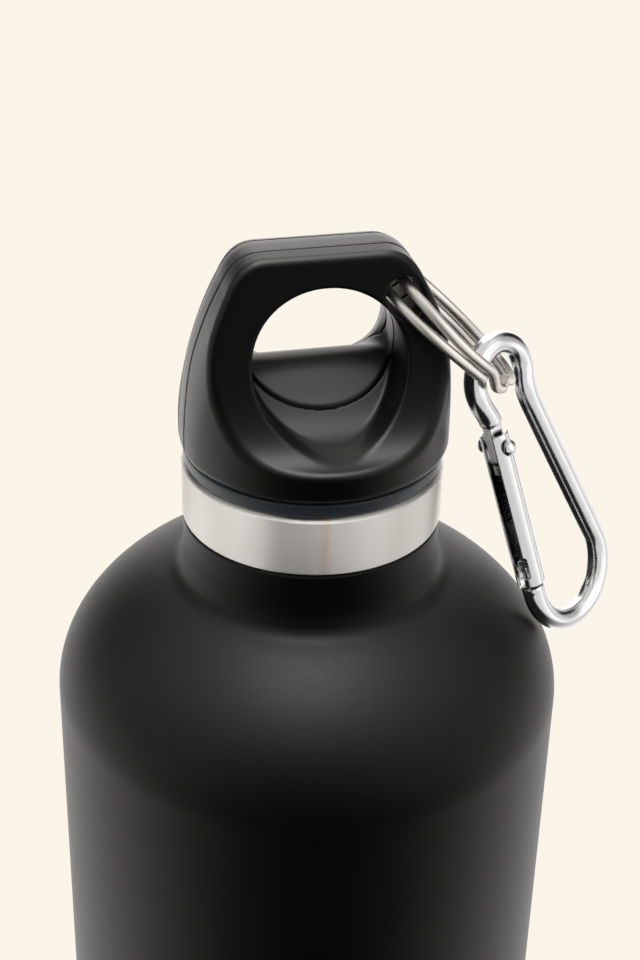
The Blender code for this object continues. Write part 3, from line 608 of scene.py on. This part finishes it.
def cap_field(x, y, z):
    """The whole cap, before the seams part it."""
    barrel = round_and(np.hypot(x, y) - CAP_RADIUS, CAP_LOW - z, RIM_ROUNDING)
    arch = outline_field(arch_outline(), x, z) + crown(y, z)
    outside = round_and(barrel, arch, ARCH_ROUNDING)
    outside = round_and(outside, outline_field(side_outline(), -y, z), FRONT_ROUNDING)
    outside = round_and(outside, outline_field(side_outline(), y, z), REAR_ROUNDING)
    drilled = round_minus(outside, opening_field(x, y, z), OPENING_ROUNDING)
    return round_minus(drilled, ring_hole_field(x, y, z), RING_HOLE_ROUNDING)


def insert_field(x, y, z):
    """The strap over the arch and the elliptical insert under the fingers."""
    strap = np.abs(y) - SEAM_HALF
    scaled = np.hypot(x / INSERT_HALF_WIDTH, y / INSERT_HALF_DEPTH)
    slope = np.hypot(x / INSERT_HALF_WIDTH**2, y / INSERT_HALF_DEPTH**2) + 1e-6
    ellipse = scaled * (scaled - 1) / slope
    insert = np.maximum(ellipse, z - INSERT_TOP)
    return np.minimum(strap, insert)


def cap_piece(name, side):
    """The front (-1) or rear (1) moulding, or the core between them (0)."""

    def field(x, y, z):
        insert = insert_field(x, y, z) + SEAM_GAP / 2
        if side == 0:
            region = insert
        else:
            region = np.maximum(SEAM_GAP - insert, -side * y)
        return round_and(cap_field(x, y, z), region, SEAM_ROUNDING)

    reach = CAP_RADIUS + 0.6
    lower = (-reach, -reach, CAP_LOW)
    upper = (reach, reach, CAP_TOP)
    return solid(name, field, lower, upper, CAP_STEP, Matrix.Translation((0, 0, BAND_Z * MM)))


# ---------------------------------------------------------------- carabiner

def gate_matrix():
    """The gate's frame: origin at the rivet, y up along the gate, z out of the carabiner's plane."""
    normal = Vector(JOINTS["gate_open"]["axis"]).normalized()
    up = -Vector(JOINTS["plunger_press"]["axis"]).normalized()
    across = up.cross(normal)
    turn = Matrix((across, up, normal)).transposed().to_4x4()
    return Matrix.Translation(JOINTS["gate_open"]["pos_m"]) @ turn


def carabiner_matrix():
    turn = gate_matrix().to_3x3() @ Matrix.Rotation(-GATE_LEAN, 3, "Z")
    return Matrix.Translation(JOINTS["carabiner_swing"]["pos_m"]) @ turn.to_4x4()


def on_gate_line(height):
    """A point of the gate's axis in the carabiner's frame."""
    return RIVET_CENTRE + height * Vector((-sin(GATE_LEAN), cos(GATE_LEAN)))


def rod_path():
    """Centre line of the bent rod: hinge shoulder, bow, spine, basket and nose."""
    shoulder = tuple(on_gate_line(ROD_SHOULDER))
    nose = tuple(on_gate_line(NOSE_TOP))
    bow = arc(BOW_CENTRE, BOW_RADIUS, pi + BOW_OPENING, -BOW_OPENING, 60)
    pull = Vector((sin(BOW_OPENING), -cos(BOW_OPENING))) * BOW_PULL
    leg = bezier(
        shoulder,
        (shoulder[0], shoulder[1] + SHOULDER_PULL),
        (bow[0][0] + pull.x, bow[0][1] + pull.y),
        bow[0],
        12,
    )
    back = SPINE_TOP - BASKET_CENTRE
    touch = atan2(back.y, back.x) - acos(BASKET_RADIUS / back.length)
    basket = arc(BASKET_CENTRE, BASKET_RADIUS, touch, -pi, 60)
    spine = (Vector(basket[0]) - SPINE_TOP).normalized() * SPINE_PULL
    waist = bezier(
        bow[-1],
        (bow[-1][0] - pull.x, bow[-1][1] + pull.y),
        tuple(SPINE_TOP - spine),
        tuple(SPINE_TOP),
        12,
    )
    turn = bezier(
        basket[-1],
        (basket[-1][0], basket[-1][1] + NOSE_PULL),
        (nose[0], nose[1] - NOSE_PULL),
        nose,
        10,
    )
    return [shoulder] + leg + bow[1:] + waist + basket + turn


def tongue_field(across, along, z):
    """The flattened tongue that the gate's fork straddles."""
    return block_field(across, along, z, (0, TONGUE_MIDDLE, 0), TONGUE_HALF, 0.25)


def nose_field(across, along, z):
    """The T-shaped nose that the gate's window closes over."""
    neck = block_field(across, along, z, (0, NOSE_NECK_MIDDLE, 0), NOSE_NECK_HALF, 0.2)
    rise = along - NOSE_TOP - NOSE_HEAD_RISE
    head = round_and(np.hypot(across, rise) - NOSE_HEAD_RADIUS, np.abs(z) - NOSE_HEAD_HALF, 0.2)
    return round_or(neck, head, 0.2)


def carabiner_rod():
    """Bent rod with a gap for the gate, between the tongue at the hinge and the nose."""
    path = rod_path()
    lean = (cos(GATE_LEAN), sin(GATE_LEAN))
    gap_middle = (0, (NOSE_TOP + ROD_SHOULDER) / 2, 0)
    gap_half = (2 * ROD_RADIUS, (ROD_SHOULDER - NOSE_TOP) / 2, 2 * ROD_RADIUS)

    def field(x, y, z):
        flat, _ = path_distance(path, x, y)
        across = (x - RIVET_CENTRE.x) * lean[0] + (y - RIVET_CENTRE.y) * lean[1]
        along = (y - RIVET_CENTRE.y) * lean[0] - (x - RIVET_CENTRE.x) * lean[1]
        gap = block_field(across, along, z, gap_middle, gap_half)
        rod = round_minus(np.hypot(flat, z) - ROD_RADIUS, gap, 0.35)
        body = round_or(rod, tongue_field(across, along, z), 0.5)
        body = round_or(body, nose_field(across, along, z), 0.25)
        return round_minus(body, np.hypot(across, along) - PIN_HOLE_RADIUS, 0.1)

    left = BOW_CENTRE.x - BOW_RADIUS - ROD_RADIUS - 2
    right = BASKET_CENTRE.x + BASKET_RADIUS + ROD_RADIUS + 0.5
    bottom = BASKET_CENTRE.y - BASKET_RADIUS - ROD_RADIUS
    top = BOW_CENTRE.y + BOW_RADIUS + ROD_RADIUS
    depth = ROD_RADIUS + 0.2
    lower = (left, bottom, -depth)
    upper = (right, top, depth)
    return solid("carabiner_rod", field, lower, upper, ROD_STEP, carabiner_matrix())


def wall_cut(x, y, z, side, ends, half_width, rounding):
    """A cut through the gate's wall on the spine's side (1) or the outer side (-1)."""
    middle = (side * CUT_REACH, (ends[0] + ends[1]) / 2, 0)
    half = (CUT_REACH, (ends[1] - ends[0]) / 2, half_width)
    return block_field(x, y, z, middle, half, rounding)


def gate_tube():
    """Rolled tube: an open seam on the outer side, a fork on top and a window for the nose."""

    def field(x, y, z):
        radius = np.hypot(x, z)
        ends = np.abs(y - (GATE_TOP + GATE_BOTTOM) / 2) - (GATE_TOP - GATE_BOTTOM) / 2
        wall = np.maximum(radius - GATE_RADIUS, GATE_BORE - radius)
        tube = round_and(wall, ends, 0.2)
        seam = wall_cut(x, y, z, -1, (WINDOW_HIGH, SEAM_TOP), SEAM_HALF_WIDTH, 0.2)
        window = wall_cut(x, y, z, -1, (WINDOW_LOW, WINDOW_HIGH), WINDOW_HALF_WIDTH, 0.35)
        lip = wall_cut(x, y, z, -1, (LIP_LOW, LIP_HIGH), LIP_HALF_WIDTH, 0.2)
        fork = wall_cut(x, y, z, 1, (-FORK_DEPTH, FORK_DEPTH), FORK_HALF_WIDTH, 0.2)
        cuts = np.minimum(np.minimum(seam, window), np.minimum(lip, fork))
        tube = round_minus(tube, cuts, 0.18)
        return np.maximum(tube, PIN_HOLE_RADIUS - np.hypot(x, y))

    lower = (-GATE_RADIUS, GATE_BOTTOM, -GATE_RADIUS)
    upper = (GATE_RADIUS, GATE_TOP, GATE_RADIUS)
    return solid("gate_tube", field, lower, upper, GATE_STEP, gate_matrix())


def rivet():
    """Pin with a domed head on each side of the gate."""

    def field(x, y, z):
        radius = np.hypot(x, y)
        rise = np.abs(z) - RIVET_SEAT
        dome = np.sqrt(radius**2 + (rise + RIVET_DOME_DEPTH) ** 2) - RIVET_DOME_RADIUS
        head = round_and(np.maximum(dome, radius - RIVET_HEAD_RADIUS), -rise, 0.12)
        pin = np.maximum(radius - RIVET_PIN_RADIUS, rise - RIVET_PIN_PAST_SEAT)
        return np.minimum(head, pin)

    reach = RIVET_HEAD_RADIUS + 0.1
    height = RIVET_SEAT + 1.2
    lower = (-reach, -reach, -height)
    upper = (reach, reach, height)
    return solid("rivet", field, lower, upper, RIVET_STEP, gate_matrix())


# ---------------------------------------------------------------- material graphs

class Graph:
    """A short way to write a shader's nodes."""

    def __init__(self, tree):
        self.tree = tree

    def node(self, kind, **settings):
        made = self.tree.nodes.new("ShaderNode" + kind)
        for key, value in settings.items():
            setattr(made, key, value)
        return made

    def link(self, source, target):
        if isinstance(source, (int, float, tuple)):
            target.default_value = source
        else:
            self.tree.links.new(source, target)

    def math(self, operation, first, second=0.0, third=0.0, clamp=False):
        made = self.node("Math", operation=operation, use_clamp=clamp)
        for source, target in zip((first, second, third), made.inputs):
            self.link(source, target)
        return made.outputs[0]

    def step(self, value, start, end, top=1.0):
        """A smooth climb from 0 at start to top at end."""
        made = self.node("MapRange", interpolation_type="SMOOTHSTEP")
        self.link(value, made.inputs["Value"])
        self.link(start, made.inputs["From Min"])
        self.link(end, made.inputs["From Max"])
        self.link(float(top), made.inputs["To Max"])
        return made.outputs[0]

    def between(self, value, start, end, soft, top=1.0):
        """A smooth plateau from start to end."""
        rise = self.step(value, start - soft, start + soft, top)
        fall = self.step(value, end - soft, end + soft)
        return self.math("MULTIPLY", rise, self.math("SUBTRACT", 1.0, fall))

    def noise(self, vector, scale, detail=2.0, rough=0.5):
        made = self.node("TexNoise")
        self.link(vector, made.inputs["Vector"])
        self.link(scale, made.inputs["Scale"])
        self.link(detail, made.inputs["Detail"])
        self.link(rough, made.inputs["Roughness"])
        return made.outputs["Fac"]

    def mix(self, share, first, second):
        made = self.node("Mix", data_type="RGBA")
        self.link(share, made.inputs["Factor"])
        self.link(first, made.inputs["A"])
        self.link(second, made.inputs["B"])
        return made.outputs["Result"]

    def vector(self, x, y, z):
        made = self.node("CombineXYZ")
        for source, target in zip((x, y, z), made.inputs):
            self.link(source, target)
        return made.outputs[0]

    def place(self):
        """The point in the object's own axes."""
        return self.node("TexCoord").outputs["Object"]

    def parts(self, vector):
        """The three parts of a vector."""
        made = self.node("SeparateXYZ")
        self.link(vector, made.inputs[0])
        return tuple(made.outputs)

    def stretched(self, parts, factors):
        """A vector of the parts, each times its factor."""
        scaled = [self.math("MULTIPLY", part, factor) for part, factor in zip(parts, factors)]
        return self.vector(*scaled)

    def climb(self, share, start, growth):
        """A value that grows from start with the share."""
        return self.math("MULTIPLY_ADD", share, growth, start)

    def bump(self, height, distance, strength=1.0):
        made = self.node("Bump")
        self.link(strength, made.inputs["Strength"])
        self.link(distance, made.inputs["Distance"])
        self.link(height, made.inputs["Height"])
        return made.outputs[0]


def new_material(name, **values):
    """A material with its graph and its Principled shader."""
    made = bpy.data.materials.new(name)
    made.use_nodes = True
    shader = made.node_tree.nodes["Principled BSDF"]
    graph = Graph(made.node_tree)
    for key, value in values.items():
        graph.link(value, shader.inputs[key.replace("_", " ")])
    return made, graph, shader


def finish_material(graph, shader, colour, roughness, normal):
    graph.link(colour, shader.inputs["Base Color"])
    graph.link(roughness, shader.inputs["Roughness"])
    graph.link(normal, shader.inputs["Normal"])


def grained(name, scale, detail, first, second, roughness, spread, depth, strength, **values):
    """A material whose one noise drives its colour, its roughness and its bump."""
    made, graph, shader = new_material(name, **values)
    grain = graph.noise(graph.place(), scale, detail)
    colour = graph.mix(grain, first, second)
    bump = graph.bump(grain, depth * MM, strength)
    finish_material(graph, shader, colour, graph.climb(grain, roughness, spread), bump)
    return made


def powder_coat():
    """Matt black powder coat: a fine orange peel and slightly uneven gloss."""
    made, graph, shader = new_material("powder_coat", Specular_IOR_Level=0.25)
    place = graph.place()
    grain = graph.noise(place, 3200.0, 2.0)
    peel = graph.noise(place, 900.0, 1.0)
    cloud = graph.noise(place, 60.0, 3.0)
    colour = graph.mix(cloud, (0.0012, 0.0012, 0.0014, 1), (0.0022, 0.0022, 0.0024, 1))
    bump = graph.bump(graph.climb(peel, grain, 0.6), 0.02 * MM, 0.6)
    finish_material(graph, shader, colour, graph.climb(grain, 0.40, 0.14), bump)
    return made


def cap_plastic(name, tone, shine):
    """Soft-touch black plastic, finer than the coat, with faint flow marks."""
    made, graph, shader = new_material(name, Specular_IOR_Level=shine)
    place = graph.place()
    grain = graph.noise(place, 5200.0, 2.0)
    flow = graph.noise(place, 45.0, 2.0)
    darker = (tone, tone, 1.08 * tone, 1)
    paler = (1.5 * tone, 1.46 * tone, 1.46 * tone, 1)
    bump = graph.bump(grain, 0.012 * MM, 0.5)
    colour = graph.mix(flow, darker, paler)
    finish_material(graph, shader, colour, graph.climb(flow, 0.37, 0.06), bump)
    return made


def grey_plastic():
    darker, paler = (0.040, 0.050, 0.060, 1), (0.052, 0.062, 0.072, 1)
    return grained("grey_plastic", 2600.0, 3.0, darker, paler, 0.36, 0.1, 0.01, 0.5)


def silicone():
    darker, paler = (0.028, 0.028, 0.028, 1), (0.045, 0.045, 0.045, 1)
    return grained("silicone", 700.0, 4.0, darker, paler, 0.5, 0.15, 0.01, 0.5)


def solder():
    darker, paler = (0.38, 0.38, 0.40, 1), (0.55, 0.55, 0.56, 1)
    return grained("solder_metal", 900.0, 4.0, darker, paler, 0.3, 0.3, 0.08, 0.6, Metallic=1.0)


def lathe_coordinates(graph):
    """Angle round the bottle's axis, radius and height."""
    x, y, z = graph.parts(graph.place())
    squares = graph.math("ADD", graph.math("POWER", x, 2.0), graph.math("POWER", y, 2.0))
    return graph.math("ARCTAN2", y, x), graph.math("SQRT", squares), z


def brushed_steel():
    """Bare steel brushed round the axis, with a faint orange-brown painted reflection: an upright
    streak at one angle round the axis, on the side facing the camera.
    """
    tint_down = (0.8, 0.8, 0.8, 1)
    made, graph, shader = new_material("brushed_steel", Metallic=1.0, Specular_Tint=tint_down)
    lathe = lathe_coordinates(graph)
    lines = graph.noise(graph.stretched(lathe, (1.0, 900.0, 5200.0)), 1.6, 3.0, 0.6)
    patches = graph.noise(graph.stretched(lathe, (3.0, 0.0, 60.0)), 2.0, 2.0)
    # painted reflection: a narrow orange-brown upright streak where the band faces the camera, standing
    # in for a reflection of something in front of it
    painted_reflection = graph.between(lathe[0], radians(-99.5), radians(-95.5), radians(1.8))
    steel = graph.mix(lines, (0.86, 0.83, 0.79, 1), (0.97, 0.94, 0.905, 1))
    steel = graph.mix(graph.math("MULTIPLY", patches, 0.25), steel, (0.76, 0.735, 0.70, 1))
    # the painted reflection's orange-brown is mixed into the steel's colour
    colour = graph.mix(graph.math("MULTIPLY", painted_reflection, 0.35), steel, (0.84, 0.58, 0.44, 1))
    bump = graph.bump(lines, 0.01 * MM, 0.35)
    finish_material(graph, shader, colour, graph.climb(lines, 0.46, 0.12), bump)
    tangent = graph.node("Tangent", direction_type="RADIAL", axis="Z")
    graph.link(tangent.outputs[0], shader.inputs["Tangent"])
    graph.link(0.95, shader.inputs["Anisotropic"])
    graph.link(0.25, shader.inputs["Anisotropic Rotation"])
    return made


def polished(name, colour, darker, roughness, scratches):
    """Polished metal with fine scratches and a soft frosting."""
    tint_down = (0.7, 0.7, 0.7, 1)
    made, graph, shader = new_material(name, Metallic=1.0, Specular_Tint=tint_down)
    place = graph.place()
    frost = graph.noise(place, 380.0, 3.0)
    fine = graph.noise(graph.stretched(graph.parts(place), (1.0, 6.0, 1.0)), 2400.0, 2.0)
    tone = graph.mix(frost, colour, darker)
    bump = graph.bump(fine, scratches * MM, 0.3)
    finish_material(graph, shader, tone, graph.climb(frost, roughness, 0.10), bump)
    return made


def foil():
    """Rolled copper with fine creases."""
    made, graph, shader = new_material("foil", Metallic=1.0)
    stretched = graph.stretched(lathe_coordinates(graph), (4.0, 0.0, 90.0))
    crease = graph.noise(stretched, 3.0, 4.0)
    colour = graph.mix(crease, (0.78, 0.44, 0.28, 1), (0.62, 0.34, 0.22, 1))
    bump = graph.bump(crease, 0.2 * MM, 0.5)
    finish_material(graph, shader, colour, graph.climb(crease, 0.2, 0.2), bump)
    return made


def foam():
    """Off-white foam with fine cells."""
    made, graph, shader = new_material("foam")
    cells = graph.node("TexVoronoi")
    graph.link(graph.place(), cells.inputs["Vector"])
    graph.link(1400.0, cells.inputs["Scale"])
    depth = cells.outputs["Distance"]
    colour = graph.mix(depth, (0.70, 0.66, 0.56, 1), (0.88, 0.85, 0.77, 1))
    finish_material(graph, shader, colour, 0.9, graph.bump(depth, 0.15 * MM, 0.6))
    return made


# ---------------------------------------------------------------- assembly

def add(piece, body, nodes, look):
    """Puts a finished piece on its body, in place of its CAD nodes."""
    piece.data.materials.clear()
    piece.data.materials.append(look)
    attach(piece, body)
    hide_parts(*nodes)


def dress(node, look):
    """A CAD node that stays gets a procedural material."""
    obj = frame["nodes"][node]
    obj.data.materials.clear()
    obj.data.materials.append(look)


def build_object():
    coat = powder_coat()
    plastic = cap_plastic("cap_plastic", 0.0014, 0.32)
    core_plastic = cap_plastic("core_plastic", 0.009, 0.5)
    grey = grey_plastic()
    rubber = silicone()
    steel = brushed_steel()
    pale, grey_white = (0.64, 0.64, 0.645, 1), (0.57, 0.57, 0.575, 1)
    warm, warm_grey = (0.70, 0.67, 0.63, 1), (0.62, 0.59, 0.555, 1)
    dark, darker = (0.10, 0.10, 0.105, 1), (0.06, 0.06, 0.065, 1)
    aluminium = polished("polished_aluminium", pale, grey_white, 0.13, 0.004)
    nickel = polished("ring_steel", warm, warm_grey, 0.34, 0.006)
    blued = polished("blued_spring", dark, darker, 0.35, 0.006)

    add(bottle_body(), "bottle", ["outer_shell"], coat)
    add(steel_band(), "bottle", ["neck_collar"], steel)
    add(gasket_ring(), "gasket", ["seal_gasket"], rubber)
    add(plug_body(), "cap", ["cap_plug"], grey)
    add(plug_thread(), "cap", [], grey)
    add(cap_piece("cap_core_piece", 0), "cap", ["cap_core"], core_plastic)
    add(cap_piece("cap_front_piece", -1), "cap", ["cap_front_shell"], plastic)
    add(cap_piece("cap_rear_piece", 1), "cap", ["cap_rear_shell"], plastic)
    add(split_ring(), "ring", ["split_ring"], nickel)
    add(carabiner_rod(), "carabiner", ["carabiner_body"], aluminium)
    add(rivet(), "carabiner", ["gate_rivet"], aluminium)
    add(gate_tube(), "gate", ["carabiner_gate"], aluminium)

    for node in ("inner_liner", "getter_capsule", "base_cover", "plug_end_disc"):
        dress(node, steel)
    dress("gate_spring", blued)
    dress("gate_plunger", nickel)
    dress("vacuum_base_cup", coat)
    dress("radiation_foil", foil())
    dress("plug_insulation", foam())
    dress("vacuum_seal", solder())


# ---------------------------------------------------------------- studio

def camera():
    """At the photograph's viewing angle, aimed beside the middle of the band."""
    forward = Vector((-sin(VIEW_AZIMUTH), cos(VIEW_AZIMUTH), 0)) * cos(VIEW_ELEVATION)
    forward.z = -sin(VIEW_ELEVATION)
    right = Vector((cos(VIEW_AZIMUTH), sin(VIEW_AZIMUTH), 0))
    data = bpy.data.cameras.new("camera")
    data.lens = LENS
    data.sensor_width = SENSOR_WIDTH
    data.clip_start = CLIP_START
    obj = placed("camera", data)
    place = Vector((0, 0, BAND_Z * MM)) + VIEW_SHIFT * right - forward * VIEW_DISTANCE
    turn = forward.to_track_quat("-Z", "Y").to_matrix()
    roll = Matrix.Rotation(VIEW_ROLL, 3, "Z")
    obj.matrix_world = Matrix.Translation(place) @ (turn @ roll).to_4x4()
    bpy.context.scene.camera = obj


def floor():
    """A wide pale floor that glows evenly, so that only a faint contact shadow shows."""
    bpy.ops.mesh.primitive_circle_add(vertices=96, radius=FLOOR_RADIUS, fill_type="NGON")
    obj = bpy.context.object
    obj.name = "floor"
    made, graph, shader = new_material("floor", Roughness=0.9, Specular_IOR_Level=0.0)
    graph.link(FLOOR_COLOUR, shader.inputs["Base Color"])
    graph.link(CREAM, shader.inputs["Emission Color"])
    graph.link(FLOOR_GLOW, shader.inputs["Emission Strength"])
    obj.data.materials.append(made)
    obj.visible_glossy = False
    obj.visible_diffuse = False


def world_light(graph, x, y, z):
    """Strength of the light from each direction: overhead, at the sides, behind and from the ground."""
    azimuth = graph.math("ARCTAN2", x, graph.math("MULTIPLY", y, -1.0))
    turn = graph.math("ABSOLUTE", azimuth)
    elevation = graph.math("ARCSINE", z)
    overhead = graph.step(z, *OVERHEAD_CLIMB)
    under = graph.math("SUBTRACT", 1.0, graph.step(elevation, *GROUND_EDGE))
    ground_turn = graph.math("ABSOLUTE", graph.math("SUBTRACT", azimuth, GROUND_MIDDLE))
    ground = graph.math("MULTIPLY", graph.step(ground_turn, *GROUND_CLIMB), under)
    panels = graph.between(turn, *SIDE_PANELS)
    behind = graph.step(turn, *BACK_CLIMB)
    level = graph.between(elevation, *UPRIGHT_LEVEL)
    upright = graph.math("MULTIPLY", graph.math("ADD", panels, behind), level)
    light = graph.math("ADD", graph.math("ADD", overhead, ground), upright)
    return graph.math("ADD", light, AMBIENT)


def studio_world():
    """Soft light, with an even pale background where the camera sees past the floor."""
    world = bpy.data.worlds.new("studio")
    bpy.context.scene.world = world
    world.use_nodes = True
    graph = Graph(world.node_tree)
    background = world.node_tree.nodes["Background"]
    from_camera = graph.node("VectorRotate", rotation_type="Z_AXIS")
    graph.link(graph.node("TexCoord").outputs["Generated"], from_camera.inputs["Vector"])
    graph.link(-VIEW_AZIMUTH, from_camera.inputs["Angle"])
    light = world_light(graph, *graph.parts(from_camera.outputs[0]))
    sees = graph.node("LightPath").outputs["Is Camera Ray"]
    graph.link(graph.mix(sees, LIGHT_COLOUR, CREAM), background.inputs["Color"])
    strength = graph.node("Mix", data_type="FLOAT")
    graph.link(sees, strength.inputs["Factor"])
    graph.link(light, strength.inputs["A"])
    graph.link(1.0, strength.inputs["B"])
    graph.link(strength.outputs[0], background.inputs["Strength"])


def softbox(name, azimuth, elevation, distance, size, radiance, receivers):
    """A rectangular light, aimed at the band, that shines only on the named pieces."""
    data = bpy.data.lights.new(name, "AREA")
    data.shape = "RECTANGLE"
    data.size, data.size_y = size
    data.energy = radiance * pi * size[0] * size[1]
    obj = placed(name, data)
    turn = radians(azimuth) + VIEW_AZIMUTH
    rise = radians(elevation)
    away = Vector((sin(turn) * cos(rise), -cos(turn) * cos(rise), sin(rise)))
    place = Vector((0, 0, BAND_Z * MM)) + away * distance
    facing = away.to_track_quat("Z", "Y").to_matrix().to_4x4()
    obj.matrix_world = Matrix.Translation(place) @ facing
    obj.visible_camera = False
    lit = bpy.data.collections.new(name + "_receivers")
    for receiver in receivers:
        lit.objects.link(bpy.data.objects[receiver])
    obj.light_linking.receiver_collection = lit


def softboxes():
    """One overhead for the black pieces and the band, two for the band and one for the metal."""
    band = ["steel_band"]
    dark = ["bottle_body", "steel_band", "gasket_ring", "plug_body", "plug_thread"]
    dark += ["cap_core_piece", "cap_front_piece", "cap_rear_piece"]
    bright = ["split_ring_wire", "carabiner_rod", "gate_tube", "rivet"]
    softbox("overhead", 0, 89, 1.2, (0.62, 0.94), 9.5, dark)
    softbox("left_strip", -53, 20, 1.0, (0.69, 1.15), 0.6, band)
    softbox("right_strip", 43, 20, 1.0, (1.02, 1.15), 0.65, band)
    softbox("front_fill", 42, 8, 0.7, (1.7, 1.35), 1.0, bright)


def studio():
    floor()
    studio_world()
    softboxes()
    camera()
    bpy.context.scene.view_settings.view_transform = "Standard"


build_object()
studio()
